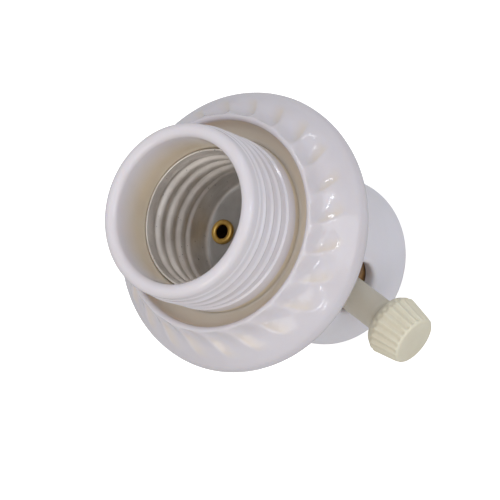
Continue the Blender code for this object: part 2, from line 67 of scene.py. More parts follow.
BARREL_LOW, BARREL_HIGH = span("socket_barrel")
RING_LOW, RING_HIGH = span("shade_ring")
SHELL_LOW, SHELL_HIGH = span("screw_shell")
HOUSING_HIGH = span("rear_housing")[1]
KNOB_LOW, KNOB_HIGH = span("knob")
HUB_LOW, HUB_HIGH = span("hub_bushing")
SET_SCREW_LOW, SET_SCREW_HIGH = span("hub_set_screw")
CONTACT_LOW, CONTACT_HIGH = span("centre_contact")

# Barrel: a full-round lip, the fitter thread, a plain band, the seat flange and the spigot.
RIM_Z = BARREL_HIGH.z
SEAT_R = BARREL_HIGH.x
BORE_R = SHELL_HIGH.x + 0.06
LIP_WIDTH = 2.6
THREAD_ROOT_R = SEAT_R - 3.48
THREAD_DEPTH = 0.33
THREAD_PITCH = 2.67
THREAD_TOP_Z = RIM_Z - 3.2
THREAD_BOTTOM_Z = RIM_Z - 11.9
BAND_R = SEAT_R - 3.1
SEAT_TOP_Z = RING_LOW.z - 0.3
SEAT_BOTTOM_Z = HOUSING_HIGH.z + 0.3
SPIGOT_R = HOUSING_HIGH.x - 2.8
WEB_TOP_Z = SHELL_LOW.z - 0.3

# Shade ring: 24 swirled scoops between the lip and the rounded edge.
RING_R = RING_HIGH.x
RING_LIP_Z = RING_HIGH.z
RING_LIP_R = RING_R - 6.8
RING_INNER_R = RING_R - 7.5
RING_BORE_R = BAND_R + 0.03
RING_FLOOR_Z = RING_LIP_Z - 3.35
RING_COLLAR_R = RING_INNER_R - 0.1
RING_COLLAR_Z = RING_LOW.z + 1.85
RING_EDGE_R = 3.5
RING_EDGE_Z = RING_LOW.z + 3.2
FLUTES = 24
FLUTE_DEPTH = 0.66
FLUTE_SWIRL_DEG = 8.6

# Screw shell: medium base thread of 7 turns to the inch.
SHELL_WALL = 0.35
SHELL_PITCH = 3.63
SHELL_SWING = 0.4
SHELL_MIDDLE_R = SHELL_HIGH.x - SHELL_WALL - SHELL_SWING
SHELL_MINOR_R = SHELL_MIDDLE_R - SHELL_SWING
SHELL_MOUTH_Z = SHELL_HIGH.z
SHELL_THREAD_END_Z = SHELL_MOUTH_Z - 3.9 * SHELL_PITCH
SHELL_FLOOR_Z = SHELL_LOW.z + SHELL_WALL
SHELL_HOLE_R = 5.4

# Rear housing, with the slot that the knob's stem comes out of.
HOUSING_R = HOUSING_HIGH.x
HOUSING_TOP_Z = HOUSING_HIGH.z
HOUSING_WALL = 2.5
SPINDLE_Z = (KNOB_LOW.z + KNOB_HIGH.z) / 2
SLOT_MIDDLE_X = 1.35
SLOT_HALF_WIDTH = 5.15
SLOT_EDGE_R = 1.1

# Knob, with distances measured along its own axis from the lamp axis.
KNOB_FACE = -KNOB_LOW.y
STEM_START = -KNOB_HIGH.y
KNOB_BASE_R = KNOB_HIGH.x
KNOB_FACE_R = KNOB_BASE_R - 1.15
STEM_R = 3.32
KNOB_FLUTES = 22
KNOB_FLUTE_DEPTH = 0.42

# Rivets, housing screws and hub.
EYELET_CLEAR_R = 1.9
EYELET_DEPTH = 4.2
SCREW_RECESS_R = 2.6
SCREW_CLEAR_R = 1.75
DRIVER_HOLE_R = 1.6
PIPE_PITCH = 0.94
PIPE_THREAD_DEPTH = 0.22

# Points on a rounded corner, and between two knots of a smooth curve.
ARC_STEPS = 7
FRONT_STEPS = 8


# ---------------------------------------------------------------- materials


def new_material(name):
    made = bpy.data.materials.new(name)
    made.use_nodes = True
    nodes = made.node_tree.nodes
    shader = nodes["Principled BSDF"]
    return made, nodes, made.node_tree.links, shader


def noise_node(nodes, links, scale, detail=3.0, stretch=(1.0, 1.0, 1.0)):
    """Noise in the piece's own coordinates. Scale is in features to the metre."""
    place = nodes.new("ShaderNodeTexCoord")
    mapping = nodes.new("ShaderNodeMapping")
    mapping.inputs["Scale"].default_value = stretch
    texture = nodes.new("ShaderNodeTexNoise")
    texture.inputs["Scale"].default_value = scale
    texture.inputs["Detail"].default_value = detail
    links.new(place.outputs["Object"], mapping.inputs["Vector"])
    links.new(mapping.outputs["Vector"], texture.inputs["Vector"])
    return texture.outputs["Fac"]


def ramp_node(nodes, links, source, stops):
    """Colours picked by a value between 0 and 1; stops is a list of (place, colour)."""
    ramp = nodes.new("ShaderNodeValToRGB")
    elements = ramp.color_ramp.elements
    while len(elements) < len(stops):
        elements.new(1.0)
    for element, (place, colour) in zip(elements, stops):
        element.position = place
        element.color = (*colour, 1.0)
    links.new(source, ramp.inputs["Fac"])
    return ramp.outputs["Color"]


def range_node(nodes, links, source, low, high, from_low=0.3, from_high=0.7):
    scaled = nodes.new("ShaderNodeMapRange")
    scaled.inputs["From Min"].default_value = from_low
    scaled.inputs["From Max"].default_value = from_high
    scaled.inputs["To Min"].default_value = low
    scaled.inputs["To Max"].default_value = high
    links.new(source, scaled.inputs["Value"])
    return scaled.outputs["Result"]


def bump_node(nodes, links, height, distance, strength=1.0, under=None):
    bump = nodes.new("ShaderNodeBump")
    bump.inputs["Strength"].default_value = strength
    bump.inputs["Distance"].default_value = distance
    links.new(height, bump.inputs["Height"])
    if under is not None:
        links.new(under, bump.inputs["Normal"])
    return bump.outputs["Normal"]


def tint(colour, factor):
    return tuple(min(1.0, channel * factor) for channel in colour)


def grey(value):
    return (value, value, value)


def zone_mask(nodes, links, radius_ramp, height_ramp):
    """1 inside a zone about the lamp axis. Each ramp is (place where it is 0, place where it is 1)."""
    place = nodes.new("ShaderNodeTexCoord")
    flat = nodes.new("ShaderNodeVectorMath")
    flat.operation = "MULTIPLY"
    flat.inputs[1].default_value = (1.0, 1.0, 0.0)
    links.new(place.outputs["Object"], flat.inputs[0])
    length = nodes.new("ShaderNodeVectorMath")
    length.operation = "LENGTH"
    links.new(flat.outputs["Vector"], length.inputs[0])
    parts = nodes.new("ShaderNodeSeparateXYZ")
    links.new(place.outputs["Object"], parts.inputs["Vector"])
    both = nodes.new("ShaderNodeMath")
    both.operation = "MULTIPLY"
    radius_share = range_node(
        nodes, links, length.outputs["Value"], 0.0, 1.0, radius_ramp[0] * MM, radius_ramp[1] * MM)
    height_share = range_node(
        nodes, links, parts.outputs["Z"], 0.0, 1.0, height_ramp[0] * MM, height_ramp[1] * MM)
    links.new(radius_share, both.inputs[0])
    links.new(height_share, both.inputs[1])
    return both.outputs["Value"]


def mix_node(nodes, links, share, base, colour):
    """Lays a colour over a base by a share between 0 and 1."""
    mixed = nodes.new("ShaderNodeMix")
    mixed.data_type = "RGBA"
    links.new(share, mixed.inputs["Factor"])
    links.new(base, mixed.inputs["A"])
    mixed.inputs["B"].default_value = (*colour, 1.0)
    return mixed.outputs["Result"]


def math_node(nodes, links, operation, first, second=None):
    made = nodes.new("ShaderNodeMath")
    made.operation = operation
    for index, value in enumerate((first, second)):
        if isinstance(value, float):
            made.inputs[index].default_value = value
        elif value is not None:
            links.new(value, made.inputs[index])
    return made.outputs["Value"]


def flute_shade_mask(nodes, links, strength):
    """The steep side of each scoop round the ring, which takes a warm painted shade."""
    place = nodes.new("ShaderNodeTexCoord")
    parts = nodes.new("ShaderNodeSeparateXYZ")
    links.new(place.outputs["Object"], parts.inputs["Vector"])
    turn = math_node(nodes, links, "ARCTAN2", parts.outputs["Y"], parts.outputs["X"])
    across = math_node(nodes, links, "MULTIPLY", parts.outputs["X"], parts.outputs["X"])
    deep = math_node(nodes, links, "MULTIPLY", parts.outputs["Y"], parts.outputs["Y"])
    radius = math_node(nodes, links, "SQRT", math_node(nodes, links, "ADD", across, deep))
    along = range_node(
        nodes, links, radius, 0.0, 1.0, (RING_LIP_R + 0.3) * MM, (RING_R - 1.7) * MM)
    turns = math_node(nodes, links, "MULTIPLY", turn, FLUTES / (2 * math.pi))
    swirl = math_node(nodes, links, "MULTIPLY", along, FLUTES * FLUTE_SWIRL_DEG / 360.0)
    phase = math_node(nodes, links, "FRACT", math_node(nodes, links, "SUBTRACT", turns, swirl))
    steep = ramp_node(nodes, links, phase, [
        (0.0, grey(0.15)), (0.1, grey(1.0)), (0.3, grey(0.5)), (0.5, grey(0.0)), (0.9, grey(0.0)),
        (1.0, grey(0.15))])
    width = ramp_node(nodes, links, along, [
        (0.1, grey(0.0)), (0.3, grey(1.0)), (0.7, grey(1.0)), (0.95, grey(0.0))])
    patch = math_node(nodes, links, "MULTIPLY", steep, width)
    return math_node(nodes, links, "MULTIPLY", patch, strength)


def plastic(
        name, colour, shade, roughness, subsurface, orange_peel=0.00002, scuffing=1.0, painted_shade=None, zones=(),
        flute_shade_strength=0.0):
    """Moulded plastic: faint flow clouds, a little scatter, orange peel, scuffs, and painted shade: a warm
    colour laid over the zones given and, on the ring, along the steep side of each scoop.
    """
    made, nodes, links, shader = new_material(name)
    clouds = noise_node(nodes, links, 90.0, 4.0)
    base = ramp_node(nodes, links, clouds, [(0.3, shade), (0.62, colour)])
    # Painted shade: the warm colour is laid over each zone given, for the shade that falls there.
    for zone in zones:
        base = mix_node(nodes, links, zone_mask(nodes, links, *zone), base, painted_shade)
    # Painted shade: the warm colour also goes along the steep side of each scoop.
    if flute_shade_strength:
        base = mix_node(nodes, links, flute_shade_mask(nodes, links, flute_shade_strength), base, painted_shade)
    links.new(base, shader.inputs["Base Color"])
    scuffs = noise_node(nodes, links, 420.0, 5.0)
    smooth = roughness * (1 - 0.2 * scuffing)
    rough = roughness * (1 + 0.35 * scuffing)
    links.new(range_node(nodes, links, scuffs, smooth, rough), shader.inputs["Roughness"])
    peel = bump_node(nodes, links, noise_node(nodes, links, 700.0, 2.0), orange_peel)
    grain = bump_node(nodes, links, noise_node(nodes, links, 4200.0, 2.0), orange_peel * 0.25, under=peel)
    links.new(grain, shader.inputs["Normal"])
    shader.inputs["IOR"].default_value = 1.5
    shader.inputs["Subsurface Weight"].default_value = subsurface
    shader.inputs["Subsurface Radius"].default_value = (1.0, 0.75, 0.5)
    shader.inputs["Subsurface Scale"].default_value = 0.003
    return made


def metal(name, colour, shade, roughness, ring_lines=12.0, line_depth=0.00002, painted_metal_shade=None, zones=()):
    """Drawn or plated metal: turning lines round its axis, small dark specks, and painted shade: a darker
    colour laid over the zones given.
    """
    made, nodes, links, shader = new_material(name)
    stain = noise_node(nodes, links, 160.0, 5.0)
    base = ramp_node(nodes, links, stain, [(0.32, shade), (0.6, colour)])
    # Painted shade: the darker colour is laid over each zone given.
    for zone in zones:
        base = mix_node(nodes, links, zone_mask(nodes, links, *zone), base, painted_metal_shade)
    specks = noise_node(nodes, links, 1500.0, 2.0)
    speck_mask = range_node(nodes, links, specks, 0.0, 1.0, 0.70, 0.77)
    mixed = nodes.new("ShaderNodeMix")
    mixed.data_type = "RGBA"
    mixed.inputs["B"].default_value = (*tint(shade, 0.45), 1.0)
    links.new(speck_mask, mixed.inputs["Factor"])
    links.new(base, mixed.inputs["A"])
    links.new(mixed.outputs["Result"], shader.inputs["Base Color"])
    lines = noise_node(nodes, links, 220.0, 4.0, (1.0, 1.0, ring_lines))
    links.new(range_node(nodes, links, lines, roughness * 0.8, roughness * 1.3), shader.inputs["Roughness"])
    links.new(bump_node(nodes, links, lines, line_depth), shader.inputs["Normal"])
    shader.inputs["Metallic"].default_value = 1.0
    return made


def phenolic(name, colour, shade, roughness):
    """Filled phenolic moulding: mottled wood-flour grain with a matt, slightly pitted skin."""
    made, nodes, links, shader = new_material(name)
    mottle = noise_node(nodes, links, 900.0, 6.0)
    links.new(ramp_node(nodes, links, mottle, [(0.35, shade), (0.65, colour)]), shader.inputs["Base Color"])
    links.new(range_node(nodes, links, mottle, roughness * 0.85, roughness * 1.2), shader.inputs["Roughness"])
    pits = noise_node(nodes, links, 2600.0, 2.0)
    links.new(bump_node(nodes, links, pits, 0.00003), shader.inputs["Normal"])
    return made


# Painted shade: zones about the lamp axis where a warm beige stands in for the shade in the groove between
# barrel and ring, down the barrel's bore (more of it deeper in) and inside the ring's lip.
BARREL_SHADE_ZONES = (
    ((BAND_R + 0.6, BAND_R + 0.5), (RING_LIP_Z - 1.7, RING_LIP_Z - 1.85)),
    ((BORE_R + 0.8, BORE_R + 0.3), (RIM_Z - 2.0, RIM_Z - 7.5)),
)
RING_SHADE_ZONES = (((RING_INNER_R + 0.8, RING_INNER_R + 0.1), (RING_LIP_Z - 0.4, RING_LIP_Z - 1.5)),)
# Painted shade: the flat floor of the shell's cup, deep in the socket, takes a darker grey.
CUP_SHADE_ZONES = (((SHELL_MINOR_R - 0.2, SHELL_MINOR_R - 0.6), (SHELL_FLOOR_Z + 0.9, SHELL_FLOOR_Z + 0.4)),)
# Painted shade: the knob moulding's stem, within 24 mm of the lamp axis, takes a darker greyish-brown for the
# shade under the ring; it fades out by 27 mm.
STEM_SHADE_ZONES = (((27.0, 24.0), (-1.0, 0.0)),)
BARREL_WHITE = plastic(
    "barrel_moulded_plastic", (0.65, 0.62, 0.65), (0.63, 0.59, 0.61), 0.13, 0.3,
    painted_shade=(0.68, 0.59, 0.46), zones=BARREL_SHADE_ZONES)
# The ring takes painted shade in its groove and along the steep side of each scoop.
RING_WHITE = plastic(
    "ring_moulded_plastic", (0.61, 0.58, 0.61), (0.59, 0.55, 0.57), 0.11, 0.3,
    painted_shade=(0.63, 0.55, 0.455), zones=RING_SHADE_ZONES, flute_shade_strength=0.6)
HOUSING_WHITE = plastic(
    "housing_moulded_plastic", (0.71, 0.69, 0.73), (0.69, 0.66, 0.69), 0.36, 0.3, 0.00001, 0.15)
CREAM = plastic(
    "cream_moulded_plastic", (0.68, 0.64, 0.51), (0.62, 0.57, 0.44), 0.42, 0.2, 0.00003,
    painted_shade=(0.52, 0.48, 0.40), zones=STEM_SHADE_ZONES)
ALUMINIUM = metal(
    "shell_aluminium_finish", (0.90, 0.87, 0.84), (0.74, 0.71, 0.68), 0.60,
    painted_metal_shade=(0.43, 0.42, 0.41), zones=CUP_SHADE_ZONES)
BRASS = metal("brass_finish", (0.72, 0.47, 0.13), (0.46, 0.27, 0.06), 0.28)
STEEL = metal("plated_steel_finish", (0.66, 0.65, 0.64), (0.5, 0.49, 0.47), 0.3)
ZINC = metal("zinc_finish", (0.6, 0.59, 0.58), (0.45, 0.44, 0.43), 0.42)
# Painted shade: near-black brass for the eyelets' blind holes, standing in for the shade down the hole.
EYELET_HOLE_SHADE = metal("eyelet_hole_shade_finish", (0.10, 0.06, 0.02), (0.05, 0.03, 0.012), 0.6)
BROWN = phenolic("brown_phenolic_finish", (0.40, 0.22, 0.085), (0.27, 0.14, 0.05), 0.5)
BLACK = phenolic("black_phenolic_finish", (0.03, 0.028, 0.026), (0.018, 0.017, 0.016), 0.45)


# ---------------------------------------------------------------- mesh helpers


def soften(corners):
    """A closed outline from corners (radius, height, rounding, spacing of points up to the next corner)."""
    points = []
    count = len(corners)
    for index, (radius, height, rounding, spacing) in enumerate(corners):
        here = Vector((radius, height))
        before = (Vector(corners[index - 1][:2]) - here).normalized()
        after = (Vector(corners[(index + 1) % count][:2]) - here).normalized()
        if rounding > 0.0:
            half = before.angle(after) / 2
            middle = here + (before + after).normalized() * rounding / math.sin(half)
            start = here + before * rounding / math.tan(half) - middle
            end = here + after * rounding / math.tan(half) - middle
            first = math.atan2(start.y, start.x)
            turn = (math.atan2(end.y, end.x) - first + math.pi) % (2 * math.pi) - math.pi
            for step in range(ARC_STEPS + 1):
                angle = first + turn * step / ARC_STEPS
                points.append((middle + rounding * Vector((math.cos(angle), math.sin(angle))), spacing))
        else:
            points.append((here, spacing))
    return fill_in(points)


def fill_in(points):
    """Adds points along the straight stretches of a closed outline, at the spacing each one gives."""
    filled = []
    for index, (start, spacing) in enumerate(points):
        end = points[(index + 1) % len(points)][0]
        pieces = max(1, round((end - start).length / spacing))
        filled += [tuple(start.lerp(end, step / pieces)) for step in range(pieces)]
    return filled


def new_piece(name, mesh, finish, body, sharp_deg=40.0):
    """A finished piece: shaded smooth, with its material and the body that it rides on."""
    mesh.shade_smooth()
    mesh.set_sharp_from_angle(angle=math.radians(sharp_deg))
    obj = bpy.data.objects.new(name, mesh)
    bpy.context.scene.collection.objects.link(obj)
    obj.data.materials.clear()
    obj.data.materials.append(finish)
    if body is not None:
        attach(obj, body)
    return obj


def lathe_mesh(name, outline, steps, wave=None, place=None):
    """A closed turned mesh about Z. wave(radius, height, angle) gives the moved radius and height."""
    shape = bmesh.new()
    rings = []
    for step in range(steps):
        angle = 2 * math.pi * step / steps
        ring = []
        for radius, height in outline:
            if wave is not None:
                radius, height = wave(radius, height, angle)
            flat = (radius * math.cos(angle) * MM, radius * math.sin(angle) * MM)
            ring.append(shape.verts.new((*flat, height * MM)))
        rings.append(ring)
    count = len(outline)
    for step in range(steps):
        here = rings[step]
        there = rings[(step + 1) % steps]
        for index in range(count):
            after = (index + 1) % count
            shape.faces.new((here[index], here[after], there[after], there[index]))
    on_axis = [vertex for vertex in shape.verts if math.hypot(vertex.co.x, vertex.co.y) < 1e-7]
    if on_axis:
        bmesh.ops.remove_doubles(shape, verts=on_axis, dist=1e-6)
        bmesh.ops.dissolve_degenerate(shape, edges=shape.edges, dist=1e-7)
    bmesh.ops.recalc_face_normals(shape, faces=shape.faces)
    if place is not None:
        bmesh.ops.transform(shape, matrix=place, verts=shape.verts)
    mesh = bpy.data.meshes.new(name)
    shape.to_mesh(mesh)
    shape.free()
    return mesh


def helper(name, mesh):
    obj = bpy.data.objects.new(name, mesh)
    bpy.context.scene.collection.objects.link(obj)
    return obj


def cut(mesh, cutters, name):
    """Cuts each cutter mesh out of a mesh and gives the result."""
    body = helper(f"{name}_uncut", mesh)
    tools = [helper(f"{name}_cutter", cutter) for cutter in cutters]
    for tool in tools:
        modifier = body.modifiers.new("Cut", "BOOLEAN")
        modifier.operation = "DIFFERENCE"
        modifier.solver = "EXACT"
        modifier.object = tool
    bpy.context.view_layer.update()
    graph = bpy.context.evaluated_depsgraph_get()
    result = bpy.data.meshes.new_from_object(body.evaluated_get(graph))
    for obj in [body, *tools]:
        bpy.data.objects.remove(obj, do_unlink=True)
    result.name = name
    return result


def rod_mesh(name, radius, start, end, segments=48):
    start = Vector(start) * MM
    end = Vector(end) * MM
    shape = bmesh.new()
    turn = (end - start).to_track_quat("Z", "Y").to_matrix().to_4x4()
    bmesh.ops.create_cone(
        shape, cap_ends=True, segments=segments, radius1=radius * MM, radius2=radius * MM,
        depth=(end - start).length, matrix=Matrix.Translation((start + end) / 2) @ turn)
    mesh = bpy.data.meshes.new(name)
    shape.to_mesh(mesh)
    shape.free()
    return mesh


def block_mesh(name, size, place):
    """A box of a size in millimetres, set by a matrix whose own lengths are metres."""
    shape = bmesh.new()
    scale = Matrix.Diagonal((*(Vector(size) * MM), 1.0))
    bmesh.ops.create_cube(shape, size=1.0, matrix=place @ scale)
    mesh = bpy.data.meshes.new(name)
    shape.to_mesh(mesh)
    shape.free()
    return mesh


def smooth_path(knots, steps=6):
    """A smooth curve through the points of a path, as a list of vectors."""
    padded = [2 * knots[0] - knots[1], *knots, 2 * knots[-1] - knots[-2]]
    curve = []
    for index in range(1, len(padded) - 2):
        p0, p1, p2, p3 = padded[index - 1:index + 3]
        for step in range(steps):
            t = step / steps
            curve.append(0.5 * (
                2 * p1 + (p2 - p0) * t + (2 * p0 - 5 * p1 + 4 * p2 - p3) * t ** 2
                + (3 * p1 - p0 - 3 * p2 + p3) * t ** 3))
    curve.append(knots[-1])
    return curve


def arc_point(middle, radius, degrees):
    """The point of a circle at an angle from +radius, for an outline of (radius, height)."""
    turn = math.radians(degrees)
    return Vector((middle[0] + radius * math.cos(turn), middle[1] + radius * math.sin(turn)))


def ease(value, low, high):
    """0 below low, 1 above high and a smooth rise between."""
    share = min(1.0, max(0.0, (value - low) / (high - low)))
    return share * share * (3 - 2 * share)


# ---------------------------------------------------------------- front half


def barrel_wave(radius, height, angle):
    """Raises the fitter thread's rounded ridge out of the barrel's outer wall."""
    if abs(radius - THREAD_ROOT_R) > 0.05 or not THREAD_BOTTOM_Z < height < THREAD_TOP_Z:
        return radius, height
    turns = (height - THREAD_BOTTOM_Z) / THREAD_PITCH - angle / (2 * math.pi)
    ridge = (0.5 + 0.5 * math.cos(2 * math.pi * turns)) ** 4.0
    run_in = ease(height, THREAD_BOTTOM_Z, THREAD_BOTTOM_Z + 0.8)
    run_out = 1 - ease(height, THREAD_TOP_Z - 0.9, THREAD_TOP_Z)
    return radius + THREAD_DEPTH * ridge * (run_in * run_out), height


def eyelet_holes(start_z, end_z):
    """Cutters for the clearance holes of the two rivets."""
    rods = []
    for number in (1, 2):
        low, high = span(f"shell_eyelet_{number}")
        middle = (low + high) / 2
        start = (middle.x, middle.y, start_z)
        end = (middle.x, middle.y, end_z)
        rods.append(rod_mesh("eyelet_hole", EYELET_CLEAR_R, start, end))
    return rods


def build_barrel():
    lip = LIP_WIDTH / 2 - 0.01
    lower_bore_r = SHELL_MINOR_R + SHELL_WALL + 0.4
    corners = [
        (BORE_R, RIM_Z, lip, 0.5),
        (BORE_R + LIP_WIDTH, RIM_Z, lip, 0.5),
        (BORE_R + LIP_WIDTH, THREAD_TOP_Z + 0.6, 0.15, 0.3),
        (THREAD_ROOT_R, THREAD_TOP_Z + 0.3, 0.15, 0.14),
        (THREAD_ROOT_R, THREAD_BOTTOM_Z, 0.0, 0.3),
        (BAND_R, THREAD_BOTTOM_Z - 0.25, 0.12, 1.0),
        (BAND_R, SEAT_TOP_Z, 0.25, 1.0),
        (SEAT_R, SEAT_TOP_Z, 0.3, 1.0),
        (SEAT_R, SEAT_BOTTOM_Z, 0.3, 1.0),
        (SPIGOT_R, SEAT_BOTTOM_Z, 0.2, 1.0),
        (SPIGOT_R, BARREL_LOW.z, 0.3, 1.0),
        (SHELL_HOLE_R + 0.1, BARREL_LOW.z, 0.2, 1.0),
        (SHELL_HOLE_R + 0.1, WEB_TOP_Z, 0.2, 1.0),
        (lower_bore_r, WEB_TOP_Z, 0.3, 1.0),
        (lower_bore_r, SHELL_THREAD_END_Z - 1.2, 0.3, 1.0),
        (BORE_R, SHELL_THREAD_END_Z, 0.3, 0.8),
    ]
    mesh = lathe_mesh("barrel", soften(corners), 224, barrel_wave)
    mesh = cut(mesh, eyelet_holes(BARREL_LOW.z - 1.0, WEB_TOP_Z + 1.0), "barrel")
    piece = new_piece("barrel", mesh, BARREL_WHITE, "lampholder_body")
    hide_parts("socket_barrel")


def scoop(share):
    """Depth of a scoop across one flute: it drops steeply, then climbs back gently."""
    return math.sin(math.pi * share ** 0.68) ** 1.4


def ring_wave(radius, height, angle):
    """Presses the swirled scoops into the front of the ring."""
    if height < RING_EDGE_Z or radius < RING_LIP_R + 0.3:
        return radius, height
    along = (radius - RING_LIP_R - 0.3) / (RING_R - RING_LIP_R - 2.0)
    if along >= 1.0:
        return radius, height
    phase = (FLUTES * (math.degrees(angle) - FLUTE_SWIRL_DEG * along) / 360.0) % 1.0
    envelope = math.sin(math.pi * along ** 0.6) ** 1.3
    dip = FLUTE_DEPTH * envelope * scoop(phase)
    return radius - 0.72 * dip, height - 0.69 * dip


def ring_front():
    """The ring's face from the lip to its widest place, as a smooth curve through a few points."""
    knots = [
        Vector((RING_LIP_R + 0.66, RING_LIP_Z - 0.5)), Vector((RING_LIP_R + 1.9, RING_LIP_Z - 2.7)),
        Vector((RING_LIP_R + 3.7, RING_LIP_Z - 4.5)), Vector((RING_LIP_R + 5.2, RING_LIP_Z - 6.4)),
    ]
    edge = (RING_R - RING_EDGE_R, RING_EDGE_Z)
    knots += [arc_point(edge, RING_EDGE_R, degrees) for degrees in (30, 5)]
    return smooth_path(knots, FRONT_STEPS)[:-1]


def ring_back(edge_at):
    """The hidden side: skirt, hollow, threaded collar, bore and the concave floor inside the lip."""
    skirt_r = RING_COLLAR_R + 3.2
    hollow_z = RING_FLOOR_Z - 2.8
    return [
        (edge_at + 0.6, RING_LOW.z), (skirt_r + 0.3, RING_LOW.z), (skirt_r, RING_LOW.z + 0.3),
        (skirt_r - 0.4, hollow_z - 0.4), (skirt_r - 0.8, hollow_z), (RING_COLLAR_R + 0.6, hollow_z),
        (RING_COLLAR_R + 0.2, hollow_z - 0.4), (RING_COLLAR_R, RING_COLLAR_Z + 0.2),
        (RING_COLLAR_R - 0.2, RING_COLLAR_Z), (RING_BORE_R + 0.3, RING_COLLAR_Z),
        (RING_BORE_R, RING_COLLAR_Z + 0.3), (RING_BORE_R, RING_FLOOR_Z + 0.3),
        (RING_BORE_R + 0.1, RING_FLOOR_Z + 0.15), (RING_BORE_R + 0.25, RING_FLOOR_Z + 0.04),
        (RING_BORE_R + 0.5, RING_FLOOR_Z), (RING_INNER_R - 1.1, RING_FLOOR_Z + 0.35),
        (RING_INNER_R - 0.5, RING_FLOOR_Z + 0.75), (RING_INNER_R - 0.15, RING_FLOOR_Z + 1.35),
        (RING_INNER_R, RING_FLOOR_Z + 2.1),
    ]


def build_ring():
    edge = (RING_R - RING_EDGE_R, RING_EDGE_Z)
    lip = (RING_LIP_R, RING_LIP_Z - 0.7)
    points = [(arc_point(lip, 0.7, degrees), 0.4) for degrees in range(180, 40, -20)]
    points += [(point, 0.4) for point in ring_front()]
    points += [(arc_point(edge, RING_EDGE_R, degrees), 1.0) for degrees in range(0, -70, -10)]
    points += [(Vector(point), 1.0) for point in ring_back(edge[0])]
    mesh = lathe_mesh("ring", fill_in(points), FLUTES * 16, ring_wave)
    piece = new_piece("ring", mesh, RING_WHITE, "shade_ring")
    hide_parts("shade_ring")


def shell_wave(radius, height, angle):
    """Rolls the lamp thread into the shell's wall, fading out at the mouth and above the plain cup."""
    if radius < SHELL_MINOR_R - 0.01:
        return radius, height
    rise = SHELL_SWING * ease(height, SHELL_THREAD_END_Z, SHELL_THREAD_END_Z + 1.6)
    turns = (height - SHELL_MOUTH_Z) / SHELL_PITCH - angle / (2 * math.pi)
    wave = 2 * (0.5 + 0.5 * math.cos(2 * math.pi * turns)) ** 1.7 - 1
    near_mouth = ease(height, SHELL_MOUTH_Z - 2.9, SHELL_MOUTH_Z - 1.6)
    flare = 0.9 * (height - SHELL_MOUTH_Z + 2.9) / 2.9 - 0.1
    wave = wave * (1 - near_mouth) + flare * near_mouth
    return radius + rise + rise * wave, height


def build_shell():
    corners = [
        (SHELL_MINOR_R, SHELL_MOUTH_Z, 0.1, 0.3),
        (SHELL_MINOR_R + SHELL_WALL, SHELL_MOUTH_Z, 0.1, 0.2),
        (SHELL_MINOR_R + SHELL_WALL, SHELL_LOW.z, 1.3, 0.6),
        (SHELL_HOLE_R, SHELL_LOW.z, 0.0, 0.6),
        (SHELL_HOLE_R, SHELL_LOW.z + SHELL_WALL, 0.0, 0.6),
        (SHELL_MINOR_R, SHELL_LOW.z + SHELL_WALL, 1.0, 0.2),
    ]
    mesh = lathe_mesh("shell", soften(corners), 192, shell_wave)
    mesh = cut(mesh, eyelet_holes(SHELL_LOW.z - 1.0, SHELL_FLOOR_Z + 1.0), "shell")
    piece = new_piece("shell", mesh, ALUMINIUM, "lampholder_body", 60.0)
    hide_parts("screw_shell")


def build_eyelets():
    """Half-hollow rivets: a rolled head on the shell's floor, a blind hole and a foot under the web."""
    for number in (1, 2):
        low, high = span(f"shell_eyelet_{number}")
        middle = (low + high) / 2
        head_r = (high.x - low.x) / 2
        hole_r = head_r - 1.2
        hole_z = high.z - EYELET_DEPTH
        tube_r = hole_r + 0.3
        corners = [
            (0.0, hole_z, 0.0, 0.5), (hole_r, hole_z, 0.2, 0.4), (hole_r, high.z, 0.55, 0.3),
            (head_r, high.z, 0.55, 0.3), (head_r, SHELL_FLOOR_Z + 0.02, 0.1, 0.3),
            (tube_r, SHELL_FLOOR_Z + 0.02, 0.0, 0.6), (tube_r, low.z + 0.45, 0.0, 0.3),
            (tube_r + 0.6, low.z + 0.45, 0.15, 0.3), (tube_r + 0.6, low.z, 0.2, 0.3), (0.0, low.z, 0.0, 4.0),
        ]
        place = Matrix.Translation((middle.x * MM, middle.y * MM, 0.0))
        mesh = lathe_mesh(f"eyelet_{number}", soften(corners), 48, None, place)
        piece = new_piece(f"eyelet_{number}", mesh, BRASS, "lampholder_body")
        # Painted shade: the walls and bottom of the blind hole, below the rolled edge, take the near-black
        # brass.
        mesh.materials.append(EYELET_HOLE_SHADE)
        for face in mesh.polygons:
            off_axis = math.hypot(face.center.x - middle.x * MM, face.center.y - middle.y * MM)
            if off_axis < (hole_r + 0.08) * MM and hole_z - 0.1 < face.center.z / MM < high.z - 0.45:
                face.material_index = 1
        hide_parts(f"shell_eyelet_{number}")


